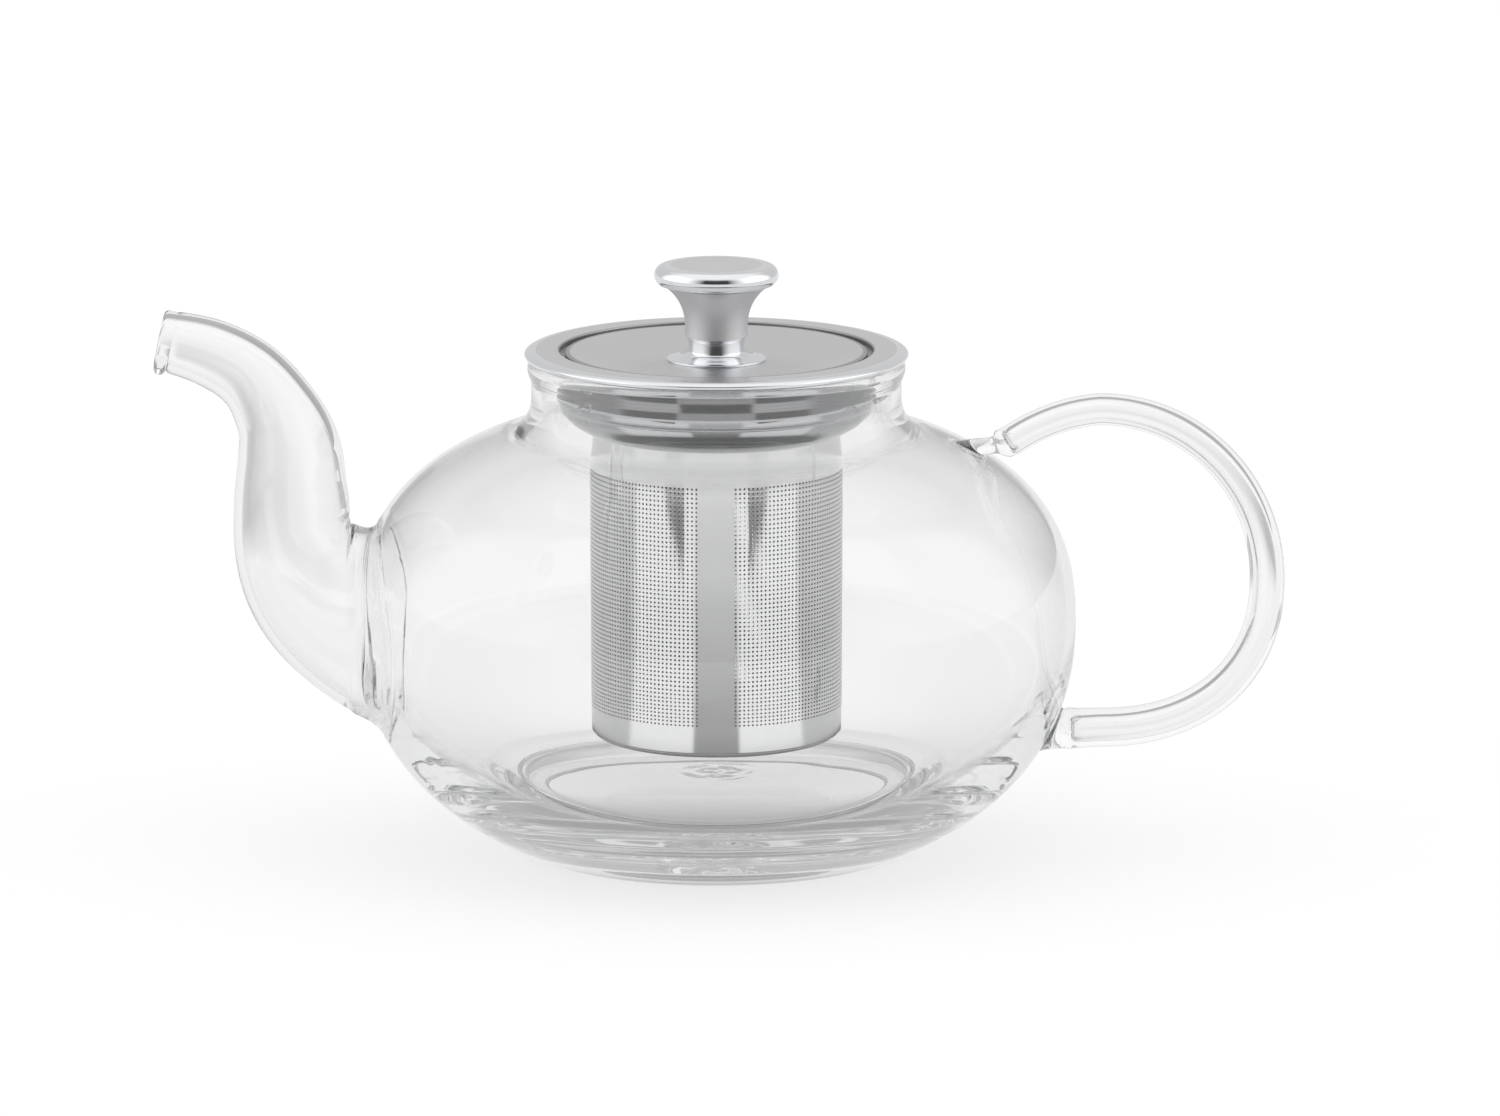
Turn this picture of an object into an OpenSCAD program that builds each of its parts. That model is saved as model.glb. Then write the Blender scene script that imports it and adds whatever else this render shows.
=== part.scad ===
// Glass teapot with a lift-out steel infuser and a lift-off steel lid.
// Millimetres. +Z is up, the table is z = 0 and the axis of the pot is the Z axis.
// The spout points along -X and the handle along +X.

/* [Glass pot] */
// Outer diameter of the belly at its widest
belly_d = 150.6; // [140:0.2:162]
// Height of the widest ring above the table
belly_z = 48; // [44:0.5:52]
// Rise of the shoulder curve above the widest ring
shoulder_rise = 45.5; // [42:0.5:48]
// Squareness of the shoulder curve, where 2 is a plain ellipse
shoulder_power = 2.5; // [2.3:0.05:2.8]
// Squareness of the lower curve, where 2 is a plain ellipse
base_power = 2.23; // [2.1:0.01:2.4]
// Diameter of the ring that the pot stands on
foot_d = 78; // [70:0.5:84]
// Width of the flat of that ring
foot_flat = 2.4; // [1.5:0.1:4]
// Thickness of the glass at the belly and the shoulder
wall_t = 2; // [1.5:0.1:2.4]
// Outer diameter of the neck
neck_d = 77.4; // [75:0.2:80]
// Thickness of the glass in the neck
neck_t = 2.2; // [1.8:0.1:2.6]
// Height of the top of the lip above the table
lip_z = 104; // [101:0.5:108]
// How far the bead of the lip stands out of the neck
lip_bead = 0.8; // [0.5:0.1:1.2]
// Height of the bead of the lip
lip_h = 4.4; // [3:0.2:5]
// Reach of the sweep that joins the neck to the shoulder
neck_sweep = 6; // [4:0.5:7]

/* [Pot floor] */
// Diameter of the floor inside the pot
floor_d = 103; // [96:0.5:106]
// Height of the edge of the floor
floor_edge_z = 12.5; // [11.5:0.25:14]
// Fall of the floor from its edge to the middle
floor_dish = 1.8; // [1:0.1:2.4]
// Diameter of the raised middle of the underside
kick_d = 56; // [46:1:60]
// Height of the raised middle of the underside
kick_z = 7.2; // [5:0.2:7.6]

/* [Spout] */
// Outer diameter of the spout where it is joined to the belly
spout_root_d = 40; // [37:0.5:42]
// Height of the centre of that joint
spout_root_z = 46.3; // [44:0.1:49]
// Outer diameter of the spout half way up
spout_mid_d = 24; // [22:0.5:26]
// Outer diameter of the spout at its mouth
spout_mouth_d = 12.6; // [11:0.2:14]
// Reach of the mouth beyond the belly
spout_reach = 41; // [38:0.1:44]
// Height of the centre of the mouth above the table
spout_mouth_z = 107.9; // [106:0.1:111]
// Thickness of the glass of the spout
spout_t = 1.8; // [1.4:0.1:2]
// Diameter of the drip bead under the mouth
drip_d = 2.6; // [2:0.1:3]

/* [Handle] */
// Reach of the handle beyond the belly, over the glass
handle_reach = 43.4; // [38:0.2:50]
// Height of the centre of the handle's loop
handle_z = 57; // [54:0.5:60]
// Height of the loop's middle line above its centre
handle_rise = 36; // [34:0.2:37]
// Depth of the loop's middle line below its centre
handle_drop = 32; // [30:0.2:34]
// Half width of the loop's middle line
handle_half_w = 35.2; // [33:0.2:37]
// Diameter of the glass at the top of the handle
handle_top_d = 6.6; // [6:0.1:7.6]
// Diameter of the glass at the lower root of the handle
handle_low_d = 8.3; // [7.4:0.1:9]
// Diameter of the sealed bore that runs inside the handle
handle_bore_d = 3.9; // [3:0.1:4.4]

/* [Infuser] */
// Thickness of the pressed steel sheet of the flange and bowl
sheet_t = 0.6; // [0.4:0.1:0.8]
// How far the flange reaches past the lip of the glass
flange_over = 0.6; // [0.3:0.1:1.2]
// Height of the rolled edge of the flange
roll_h = 1.8; // [1.4:0.1:2.4]
// Width of the flat ring of the flange, from its rolled edge to the lid opening
flange_w = 7.3; // [6.8:0.1:7.8]
// Depth of the step that the lid rests on
lid_step = 1.4; // [1.2:0.1:1.8]
// Width of the step that the lid rests on
ledge_w = 2; // [1.6:0.1:2.6]
// Depth of the bowl below the glass lip
bowl_depth = 15.2; // [14:0.2:18]
// Height of the rounded lower part of the bowl
bowl_round = 7.4; // [6:0.2:9]
// Outer diameter of the perforated sleeve
sleeve_d = 52.6; // [48:0.2:56]
// Thickness of the sleeve
sleeve_t = 0.4; // [0.3:0.1:0.6]
// Height of the lowest point of the infuser above the table
infuser_z = 21.7; // [19:0.1:26]
// Height of the plain band at the foot of the sleeve
band_low = 8.4; // [6:0.2:12]
// Height of the plain band at the top of the sleeve
band_high = 8.2; // [6:0.2:12]
// Diameter of the holes in the sleeve
hole_d = 1.6; // [1.2:0.1:2]
// Height of the collar that the sleeve slips over
collar_h = 4; // [3:0.2:6]
// Height of the rim of the base, inside the sleeve
base_rim_h = 5; // [4:0.2:7]
// Radius of the rounded corner of the base
base_corner = 1.5; // [1:0.1:2]

/* [Lid] */
// Gap around the lid in its opening
lid_gap = 1.2; // [0.8:0.1:1.5]
// Thickness of the lid plate
lid_t = 0.8; // [0.6:0.1:1]
// Fall of the plate from its edge to the flat under the knob
lid_dish = 2; // [1:0.1:3]
// Diameter of the flat under the knob
pad_d = 22; // [21.6:0.2:26]
// Height of the skirt under the lid
skirt_h = 6; // [4:0.5:8]
// Gap between the skirt and the step around it
skirt_gap = 0.8; // [0.5:0.1:1.2]

/* [Knob] */
// Diameter of the flared foot of the knob
knob_foot_d = 20.8; // [19:0.2:21]
// Diameter of the foot above its flare
knob_waist_d = 11.6; // [10.6:0.2:12]
// Height of the foot
knob_foot_h = 5; // [4:0.2:7]
// Diameter of the stem at its lower end
stem_d = 12.8; // [12.2:0.2:14]
// Diameter of the stem under the cap
stem_top_d = 22; // [20:0.2:24]
// Height of the stem
stem_h = 10.8; // [9:0.2:14]
// Diameter of the cap
cap_d = 26; // [25:0.2:28]
// Height of the cap
cap_h = 4.2; // [4:0.2:6]
// Depth of the hollow in the top of the cap
cap_hollow = 0.9; // [0.5:0.1:1.2]
// Diameter of the screw that holds the knob
screw_d = 4; // [3:0.5:4]

/* [Hidden] */
$fn = 96;

glass_tint = [0.86, 0.90, 0.90, 0.45];
steel_satin = [0.74, 0.74, 0.75];
steel_polished = [0.84, 0.85, 0.87];

belly_r = belly_d / 2;
foot_r = foot_d / 2;
neck_r = neck_d / 2;
bore_r = neck_r - neck_t;
lip_r = neck_r + lip_bead;
floor_r = floor_d / 2;
kick_r = kick_d / 2;

// ---------- curves ----------

// height share of a squared ellipse of power n at a share s of its half width
function squared(s, n) = pow(max(0, 1 - pow(s, n)), 1 / n);

// full drop of a squared ellipse of half width a that passes radius r at depth h
function full_drop(a, r, h, n) = h / squared(r / a, n);

// points of a squared ellipse from its half width a, at height z0, in to radius r
function squared_arc(a, z0, h, n, r, count) =
    [for (i = [0:count])
        let (w = 1 - pow(i / count, 2) * (1 - r / a))
        [a * w, z0 + h * squared(w, n)]];

// a curve with one corner point
function bend(p, corner, q, count) =
    [for (i = [0:count])
        let (t = i / count)
        pow(1 - t, 2) * p + 2 * t * (1 - t) * corner + t * t * q];

// points of an ellipse from angle a0 to angle a1
function arc(c, rx, ry, a0, a1, count) =
    [for (i = [0:count])
        let (a = a0 + (a1 - a0) * i / count)
        [c[0] + rx * cos(a), c[1] + ry * sin(a)]];

// the list p read backwards, and the list p without its first point
function reversed(p) = [for (i = [len(p) - 1:-1:0]) p[i]];
function tail(p) = [for (i = [1:len(p) - 1]) p[i]];

// ---------- swept glass ----------

// a smooth value between b and c, with a and d as the neighbours on either side
function smooth_step(a, b, c, d, t) =
    0.5 * (2 * b + (c - a) * t + (2 * a - 5 * b + 4 * c - d) * t * t
           + (3 * b - a - 3 * c + d) * t * t * t);

// every station of the list with steps more stations between each two
function smoothed(list, steps) =
    let (n = len(list) - 1)
    concat([for (i = [0:n - 1], k = [0:steps - 1])
        smooth_step(list[max(i - 1, 0)], list[i], list[i + 1], list[min(i + 2, n)], k / steps)],
        [list[n]]);

// one ring of a sweep in the XZ plane. A station is [x, z, tilt, diameter]: the
// ring stands across a path that climbs at the tilt angle as it goes along -X
function ring(s, d, sides) =
    [for (j = [0:sides - 1])
        let (b = 360 * j / sides, u = d / 2 * cos(b), v = d / 2 * sin(b))
        [s[0] + u * sin(s[2]), v, s[1] + u * cos(s[2])]];

// quads that join ring i to the next one of each pair in a stack of rings
function sides_of(first, rings, sides, flip) =
    [for (i = [0:rings - 2], j = [0:sides - 1])
        let (a = first + i * sides + j, b = first + i * sides + (j + 1) % sides,
             c = b + sides, d = a + sides)
        flip ? [a, b, c, d] : [d, c, b, a]];

// a solid rod along the stations
module rod(stations, sides) {
    n = len(stations);
    points = [for (s = stations) each ring(s, s[3], sides)];
    start = [for (j = [0:sides - 1]) j];
    finish = [for (j = [sides - 1:-1:0]) (n - 1) * sides + j];
    polyhedron(points, concat([start], sides_of(0, n, sides, false), [finish]), convexity = 6);
}

// a pipe along the stations, with a wall of thickness t and both ends open
module pipe(stations, t, sides) {
    n = len(stations);
    outer = [for (s = stations) each ring(s, s[3], sides)];
    inner = [for (s = stations) each ring(s, s[3] - 2 * t, sides)];
    in0 = n * sides;
    start = [for (j = [0:sides - 1]) let (k = (j + 1) % sides) [k, in0 + k, in0 + j, j]];
    last = (n - 1) * sides;
    finish = [for (j = [0:sides - 1]) let (k = (j + 1) % sides)
        [last + j, in0 + last + j, in0 + last + k, last + k]];
    faces = concat(sides_of(0, n, sides, false), sides_of(in0, n, sides, true), start, finish);
    polyhedron(concat(outer, inner), faces, convexity = 8);
}

// ---------- glass ----------

// height of the shoulder curve at radius r, for a belly radius a and a rise h
function shoulder_z(r, a, h) = belly_z + h * squared(r / a, shoulder_power);

low_drop = full_drop(belly_r, foot_r, belly_z, base_power);
inner_r = belly_r - wall_t;
inner_rise = shoulder_rise - wall_t;
inner_drop = full_drop(inner_r, floor_r, belly_z - floor_edge_z, base_power);
curve_steps = 14;
sweep_steps = 6;

// the sweep from a shoulder curve up into a neck of radius r, from the shoulder upward
function neck_bend(r, a, h) =
    bend([r + neck_sweep, shoulder_z(r + neck_sweep, a, h)], [r, shoulder_z(r, a, h)],
         [r, shoulder_z(r, a, h) + neck_sweep], sweep_steps);

// the outside of the body, from the foot ring up to the neck
low_line = reversed(squared_arc(belly_r, belly_z, -low_drop, base_power, foot_r, curve_steps));
high_line = squared_arc(belly_r, belly_z, shoulder_rise, shoulder_power,
                        neck_r + neck_sweep, curve_steps);
outer_line = concat(low_line, tail(high_line), tail(neck_bend(neck_r, belly_r, shoulder_rise)));

// the bead of the lip, up to its flat top
bead_round = 0.4;
lip_line = concat(
    arc([neck_r, lip_z - lip_h / 2], lip_bead, lip_h / 2 - bead_round, -90, 60, 8),
    [[neck_r, lip_z]]);

// the inside of the body, from the top of the lip down to the middle of the floor
inner_high = squared_arc(inner_r, belly_z, inner_rise, shoulder_power,
                         bore_r + neck_sweep, curve_steps);
inner_low = squared_arc(inner_r, belly_z, -inner_drop, base_power, floor_r, curve_steps);
floor_line = [[floor_r * 0.85, floor_edge_z - floor_dish * 0.6], [0, floor_edge_z - floor_dish]];
inner_line = concat([[bore_r, lip_z]], reversed(neck_bend(bore_r, inner_r, inner_rise)),
                    tail(reversed(inner_high)), tail(inner_low), floor_line);

// the underside, from the axis out to the foot ring
kick_line = concat([[0, kick_z]],
    bend([kick_r, kick_z], [foot_r - foot_flat - 3, kick_z - 1], [foot_r - foot_flat, 0], 6));

// the body with no inside, for fitting the spout and the handle to its skin
module body_form() {
    rotate_extrude()
        polygon(concat([[0, 0]], outer_line, [[0, outer_line[len(outer_line) - 1][1]]]));
}

module glass_body() {
    color(glass_tint)
    difference() {
        rotate_extrude()
            polygon(concat(outer_line, lip_line, inner_line, kick_line));
        translate([-belly_r / 2, 0, spout_root_z])
            rotate([0, -90, 0]) cylinder(d = spout_root_d - 2 * spout_t, h = belly_r);
    }
}

// Stations of the spout, as [x, z, tilt, diameter]. It leaves the belly level, turns
// up close to the shoulder and bends over to the mouth.
root_depth = 12;
riser_x = -belly_r - 13.8;
mouth_x = -belly_r - spout_reach;
crest_x = riser_x - 8.6;
function low_d(share) = spout_mid_d + (spout_root_d - spout_mid_d) * share;
function high_d(share) = spout_mouth_d + (spout_mid_d - spout_mouth_d) * share;
spout_path = [
    [-belly_r + root_depth, spout_root_z, 0, spout_root_d],
    [-belly_r - 1.6, spout_root_z, 0, spout_root_d - 0.4],
    [-belly_r - 6.6, spout_root_z + 5.6, 20, low_d(0.66)],
    [-belly_r - 10.9, spout_root_z + 11.6, 39, low_d(0.41)],
    [-belly_r - 13.1, spout_root_z + 18.6, 61, low_d(0.19)],
    [riser_x, spout_root_z + 28.6, 82, spout_mid_d],
    [riser_x - 0.3, spout_mouth_z - 22.9, 80, high_d(0.79)],
    [riser_x - 2.9, spout_mouth_z - 15.4, 60, high_d(0.49)],
    [crest_x, spout_mouth_z - 7.5, 38, high_d(0.25)],
    [(crest_x + mouth_x) / 2 + 0.9, spout_mouth_z - 2.7, 20, high_d(0.14)],
    [mouth_x, spout_mouth_z, 12, spout_mouth_d]];
spout_sides = 28;
spout_steps = 3;

// short glass bead under the mouth, which breaks the last drop off
drip_spread = 110;
drip_drop = 0.3;
module drip_bead(mouth) {
    bead_r = mouth[3] / 2 - spout_t + drip_d / 2 + drip_drop;
    translate([mouth[0], 0, mouth[1]])
        rotate([0, mouth[2] - 90, 0])
            translate([0, 0, -drip_d / 2])
                rotate([0, 0, 180 - drip_spread / 2])
                    rotate_extrude(angle = drip_spread, $fn = 64)
                        translate([bead_r, 0]) circle(d = drip_d, $fn = 20);
}

module glass_spout() {
    color(glass_tint) {
        difference() {
            pipe(smoothed(spout_path, spout_steps), spout_t, spout_sides);
            body_form();
        }
        drip_bead(spout_path[len(spout_path) - 1]);
    }
}

// Stations of the handle, from the belly round the loop and down to the shoulder.
// The lower half of the loop is a squared ellipse and the end of it leans down.
ring_tilt_over = 0.85;
loop_x = belly_r + handle_reach - handle_low_d / 2 + ring_tilt_over - handle_half_w;
loop_power = 2.25;
loop_lean = 1.6;
loop_start_angle = -90;
loop_angle_step = 9;
loop_end_angle = 126;
function signed_pow(v, n) = sign(v) * pow(abs(v), n);
function loop_at(a) =
    a < 0 ? [loop_x + handle_half_w * signed_pow(cos(a), 2 / loop_power),
             handle_z + handle_drop * signed_pow(sin(a), 2 / loop_power)]
    : [loop_x + handle_half_w * cos(a),
       handle_z + (handle_rise - loop_lean * max(0, a - 90) / (loop_end_angle - 90)) * sin(a)];
function handle_at(a, d) =
    let (p = loop_at(a), step = loop_at(a + 1) - loop_at(a - 1))
    [p[0], p[1], (atan2(step[1], -step[0]) + 360) % 360, d];
function handle_d(a) =
    handle_top_d + (handle_low_d - handle_top_d)
                   * pow((loop_end_angle - a) / (loop_end_angle - loop_start_angle), 1.5);
shoulder_end = loop_at(loop_end_angle);
low_end = loop_at(loop_start_angle);
// how far the ends of the handle run on past the loop, into the belly and the shoulder
low_run = 12;
shoulder_run = 12;
handle_path = concat(
    [[low_end[0] - low_run, low_end[1] - 0.4, 180, handle_low_d * 1.02]],
    [for (a = [loop_start_angle:loop_angle_step:loop_end_angle]) handle_at(a, handle_d(a))],
    [[shoulder_end[0] - shoulder_run * 0.45, shoulder_end[1] - 0.6, -8, handle_top_d * 0.9],
     [shoulder_end[0] - shoulder_run, shoulder_end[1] - 1, 0, handle_top_d * 0.7]]);
handle_sides = 20;

// Stations of the bore, which starts just outside the belly and stops at the lug
bore_run = 4.5;
bore_path = concat(
    [[low_end[0] - bore_run, low_end[1] - 0.2, 180, handle_bore_d]],
    [for (a = [loop_start_angle:loop_angle_step:loop_end_angle - loop_angle_step])
        handle_at(a, handle_bore_d)],
    [handle_at(loop_end_angle - 3, handle_bore_d)]);
bore_sides = 12;

module glass_handle() {
    color(glass_tint)
    difference() {
        rod(handle_path, handle_sides);
        body_form();
        rod(bore_path, bore_sides);
    }
}

// ---------- infuser ----------

flange_r = lip_r + flange_over;
flange_top = lip_z + roll_h;
opening_r = flange_r - flange_w;
ledge_z = flange_top - lid_step;
ledge_r = opening_r - ledge_w;
bowl_r = opening_r + sheet_t / 2;
bowl_top = ledge_z - sheet_t;
bowl_end_z = lip_z - bowl_depth;
sleeve_r = sleeve_d / 2;
sleeve_in_r = sleeve_r - sleeve_t;
roll_r = roll_h / 2;

// pressed ring: rolled edge on the lip of the glass, flat top, and a step for the lid
module infuser_flange() {
    roll_edge = arc([flange_r - roll_r, lip_z + roll_r], roll_r, roll_r, -90, 90, 12);
    color(steel_polished)
    rotate_extrude()
        polygon(concat(roll_edge,
            [[opening_r, flange_top], [opening_r, ledge_z], [ledge_r, ledge_z],
             [ledge_r, bowl_top], [opening_r + sheet_t, bowl_top],
             [opening_r + sheet_t, flange_top - sheet_t],
             [flange_r - roll_h, flange_top - sheet_t], [flange_r - roll_h, lip_z]]));
}

// the rounded lower part of the bowl, at a distance t inside its outer skin
bowl_mid_r = sleeve_r - 4.3;
function bowl_curve(t) =
    let (rx = bowl_r - bowl_mid_r, end = acos((sleeve_r - bowl_mid_r) / rx))
    arc([bowl_mid_r, bowl_end_z + bowl_round], rx - t, bowl_round / sin(end) - t, 0, -end, 12);

// drawn bowl welded under the flange, with the collar that the sleeve slips over
module infuser_bowl() {
    outer = bowl_curve(0);
    inner = bowl_curve(sheet_t);
    color(steel_polished)
    union() {
        rotate_extrude()
            polygon(concat([[bowl_r, bowl_top]], outer,
                [[sleeve_in_r, bowl_end_z], [sleeve_in_r, bowl_end_z - collar_h],
                 [sleeve_in_r - sheet_t, bowl_end_z - collar_h]],
                reversed(inner), [[bowl_r - sheet_t, bowl_top]]));
        locating_lug();
    }
}

// small lug pressed out of the bowl on the handle side, which steadies it in the neck
lug_w = 3;
lug_h = 3;
lug_play = 0.6;
module locating_lug() {
    reach = bore_r - lug_play;
    top = lip_z - lip_h - 2.2;
    translate([0, lug_w / 2, 0]) rotate([90, 0, 0])
        linear_extrude(lug_w)
            polygon([[bowl_r - sheet_t / 2, top], [reach, top], [bowl_r - sheet_t / 2, top - lug_h]]);
}

sleeve_low = infuser_z + base_corner;
holes_low = infuser_z + band_low;
holes_high = bowl_end_z - band_high;
hole_rows = 11;
hole_columns = 20;
plain_half_angle = 12;

// rolled steel tube with holes all round, apart from a plain strip in front and behind
module infuser_sleeve() {
    color(steel_satin)
    difference() {
        translate([0, 0, sleeve_low])
            difference() {
                cylinder(r = sleeve_r, h = bowl_end_z - sleeve_low);
                translate([0, 0, -1])
                    cylinder(r = sleeve_in_r, h = bowl_end_z - sleeve_low + 2);
            }
        for (row = [0:hole_rows - 1], side = [0, 1], column = [0:hole_columns / 2 - 1])
            let (span = 180 - 2 * plain_half_angle,
                 turn = -90 + plain_half_angle + side * 180
                        + span * (column + 0.5) / (hole_columns / 2),
                 z = holes_low + (holes_high - holes_low) * row / (hole_rows - 1))
            translate([0, 0, z]) rotate([0, 90, turn])
                translate([0, 0, sleeve_in_r - 1]) cylinder(d = hole_d, h = sleeve_t + 2, $fn = 24);
    }
}

// shallow cup spot-welded into the foot of the sleeve
module infuser_base() {
    c = [sleeve_in_r - base_corner, infuser_z + base_corner];
    color(steel_satin)
    rotate_extrude()
        polygon(concat([[0, infuser_z]], arc(c, base_corner, base_corner, -90, 0, 6),
            [[sleeve_in_r, sleeve_low + base_rim_h], [sleeve_in_r - sleeve_t, sleeve_low + base_rim_h]],
            arc(c, base_corner - sleeve_t, base_corner - sleeve_t, 0, -90, 6),
            [[0, infuser_z + sleeve_t]]));
}

// ---------- lid ----------

lid_r = opening_r - lid_gap;
lid_top = flange_top - 0.2;
pad_r = pad_d / 2;
pad_z = lid_top - lid_dish;
skirt_r = ledge_r - skirt_gap;

// height of the top of the dished plate at radius r
function dish_z(r) = pad_z + lid_dish * pow(max(0, r - pad_r) / (lid_r - pad_r), 2);
dish_radii = [pad_r, pad_r + 4, pad_r + 8, pad_r + 12, pad_r + 15,
              skirt_r - sheet_t, skirt_r, lid_r - 0.6];

// dished plate whose thick edge rests on the step of the flange
module lid_plate() {
    top = [for (r = dish_radii) [r, dish_z(r)]];
    under = [for (r = reversed(dish_radii)) [r, dish_z(r) - lid_t]];
    color(steel_satin)
    difference() {
        rotate_extrude()
            polygon(concat([[0, pad_z]], top, [[lid_r, lid_top - 0.4], [lid_r, ledge_z],
                [lid_r - 0.6, ledge_z]], under, [[0, pad_z - lid_t]]));
        translate([0, 0, pad_z - lid_t - 1]) cylinder(d = screw_d + 0.4, h = lid_t + 2);
    }
}

// ring spot-welded under the plate, which keeps the lid central while pouring
module lid_skirt() {
    top_in = dish_z(skirt_r - sheet_t) - lid_t;
    top_out = dish_z(skirt_r) - lid_t;
    color(steel_satin)
    rotate_extrude()
        polygon([[skirt_r - sheet_t, top_in], [skirt_r - sheet_t, top_in - skirt_h],
                 [skirt_r, top_in - skirt_h], [skirt_r, top_out]]);
}

washer_t = 1;
washer_d = screw_d * 2.5;
head_d = screw_d * 1.8;
head_h = 2.4;
screw_bite = 6;

module lid_washer() {
    color(steel_satin)
    translate([0, 0, pad_z - lid_t - washer_t])
        difference() {
            cylinder(d = washer_d, h = washer_t);
            translate([0, 0, -1]) cylinder(d = screw_d + 0.4, h = washer_t + 2);
        }
}

// pan-head screw from inside the lid, through the foot and into the stem
module lid_screw() {
    head_z = pad_z - lid_t - washer_t - head_h;
    color(steel_polished)
    difference() {
        union() {
            translate([0, 0, head_z]) cylinder(d = head_d, h = head_h);
            translate([0, 0, head_z])
                cylinder(d = screw_d, h = stem_z + screw_bite - head_z);
        }
        translate([0, 0, head_z - 0.1]) cylinder(d = screw_d * 0.55, h = head_h * 0.6, $fn = 6);
    }
}

// ---------- knob ----------

foot_edge = 0.5;
stem_z = pad_z + knob_foot_h;
stem_top = stem_z + stem_h;

// polished foot, flared where it stands on the plate
module knob_foot() {
    r = knob_foot_d / 2;
    waist = knob_waist_d / 2;
    color(steel_polished)
    difference() {
        translate([0, 0, pad_z])
            rotate_extrude()
                polygon(concat([[0, 0], [r, 0], [r, foot_edge * 0.6]],
                    bend([r - 0.3, foot_edge], [waist, foot_edge + 0.2], [waist, 2.2], 8),
                    [[waist, knob_foot_h], [0, knob_foot_h]]));
        translate([0, 0, pad_z - 1]) cylinder(d = screw_d + 0.4, h = knob_foot_h + 2);
    }
}

// satin trumpet, tapped from below for the screw
module knob_stem() {
    low = stem_d / 2;
    high = stem_top_d / 2;
    color(steel_satin)
    difference() {
        translate([0, 0, stem_z])
            rotate_extrude()
                polygon(concat([[0, 0], [low - 0.4, 0], [low, 0.4]],
                    bend([low, stem_h * 0.35], [low + 0.2, stem_h * 0.75], [high, stem_h], 8),
                    [[0, stem_h]]));
        translate([0, 0, stem_z - 1]) cylinder(d = screw_d, h = screw_bite + 2.5);
    }
}

// cap with a polished rim and a shallow hollow for the finger
module knob_cap() {
    r = cap_d / 2;
    low = stem_top_d / 2;
    color(steel_polished)
    translate([0, 0, stem_top])
        rotate_extrude()
            polygon(concat([[0, 0], [low, 0]],
                arc([low, cap_h / 2], r - low, cap_h / 2, -90, 90, 12),
                bend([low - 1.5, cap_h], [low - 4, cap_h - cap_hollow * 0.8],
                     [0, cap_h - cap_hollow], 6)));
}

glass_body();
glass_spout();
glass_handle();
infuser_flange();
infuser_bowl();
infuser_sleeve();
infuser_base();
lid_plate();
lid_skirt();
lid_washer();
lid_screw();
knob_foot();
knob_stem();
knob_cap();
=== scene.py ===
import math

import bpy
import numpy as np
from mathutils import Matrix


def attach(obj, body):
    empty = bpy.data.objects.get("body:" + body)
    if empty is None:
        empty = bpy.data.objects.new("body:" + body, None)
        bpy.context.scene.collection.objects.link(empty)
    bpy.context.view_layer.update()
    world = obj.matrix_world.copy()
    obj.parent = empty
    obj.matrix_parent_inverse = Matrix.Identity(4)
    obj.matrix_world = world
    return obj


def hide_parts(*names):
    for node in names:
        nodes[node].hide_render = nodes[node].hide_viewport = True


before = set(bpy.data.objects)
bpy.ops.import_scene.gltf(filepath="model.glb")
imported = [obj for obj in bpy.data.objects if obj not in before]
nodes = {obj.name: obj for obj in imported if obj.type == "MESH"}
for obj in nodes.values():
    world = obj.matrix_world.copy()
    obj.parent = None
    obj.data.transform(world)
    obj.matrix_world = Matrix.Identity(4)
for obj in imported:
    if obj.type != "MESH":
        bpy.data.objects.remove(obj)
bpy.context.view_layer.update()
scene = bpy.context.scene
mm = 0.001

# ---------- Camera ----------
# A long lens two metres in front of the pot, a little above it and looking down
# at the middle of the glass.
camera_place = (0.00702, -2.1559, 0.4983)
look_down = 0.2
camera_data = bpy.data.cameras.new("camera")
camera_data.sensor_width = 36.0
camera_data.lens = 252.0
camera = bpy.data.objects.new("camera", camera_data)
camera.location = camera_place
camera.rotation_euler = (math.pi / 2 - look_down, 0.0, 0.0)
scene.collection.objects.link(camera)
scene.camera = camera


# ---------- Studio ----------
# Soft boxes stand on either side, a pale cloth hangs behind and overhead, and the
# front is left dark around the lens. Metal picks all of that up. Glass keeps a paler
# echo of it that darkens toward the back, and shows plain white straight through.
def add_node(tree, kind, inputs=None, **settings):
    made = tree.nodes.new(kind)
    for name, value in settings.items():
        setattr(made, name, value)
    for socket, value in (inputs or {}).items():
        if isinstance(value, bpy.types.NodeSocket):
            tree.links.new(value, made.inputs[socket])
        else:
            made.inputs[socket].default_value = value
    return made


def figure(tree, operation, *values):
    made = tree.nodes.new("ShaderNodeMath")
    made.operation = operation
    for socket, value in zip(made.inputs, values):
        if isinstance(value, bpy.types.NodeSocket):
            tree.links.new(value, socket)
        else:
            socket.default_value = value
    return made.outputs[0]


def ramp(tree, value, stops, full=1.0):
    """A grey that follows value / full through the stops, each a (value, grey) pair."""
    made = add_node(tree, "ShaderNodeValToRGB", {0: figure(tree, "DIVIDE", value, full)})
    band = made.color_ramp
    while len(band.elements) < len(stops):
        band.elements.new(0.5)
    for element, (place, grey) in zip(band.elements, stops):
        element.position = place / full
        element.color = (grey, grey, grey, 1.0)
    return made.outputs[0]


def turn_from_front(tree, x, y):
    """How far round from the front a direction lies, from 0 to 180 degrees."""
    turn = figure(tree, "ARCTAN2", x, figure(tree, "MULTIPLY", y, -1.0))
    return figure(tree, "ABSOLUTE", figure(tree, "DEGREES", turn))


def mixed(tree, share, first, second):
    return add_node(tree, "ShaderNodeMix", {0: share, 2: first, 3: second},
                    data_type="FLOAT").outputs[0]


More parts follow.
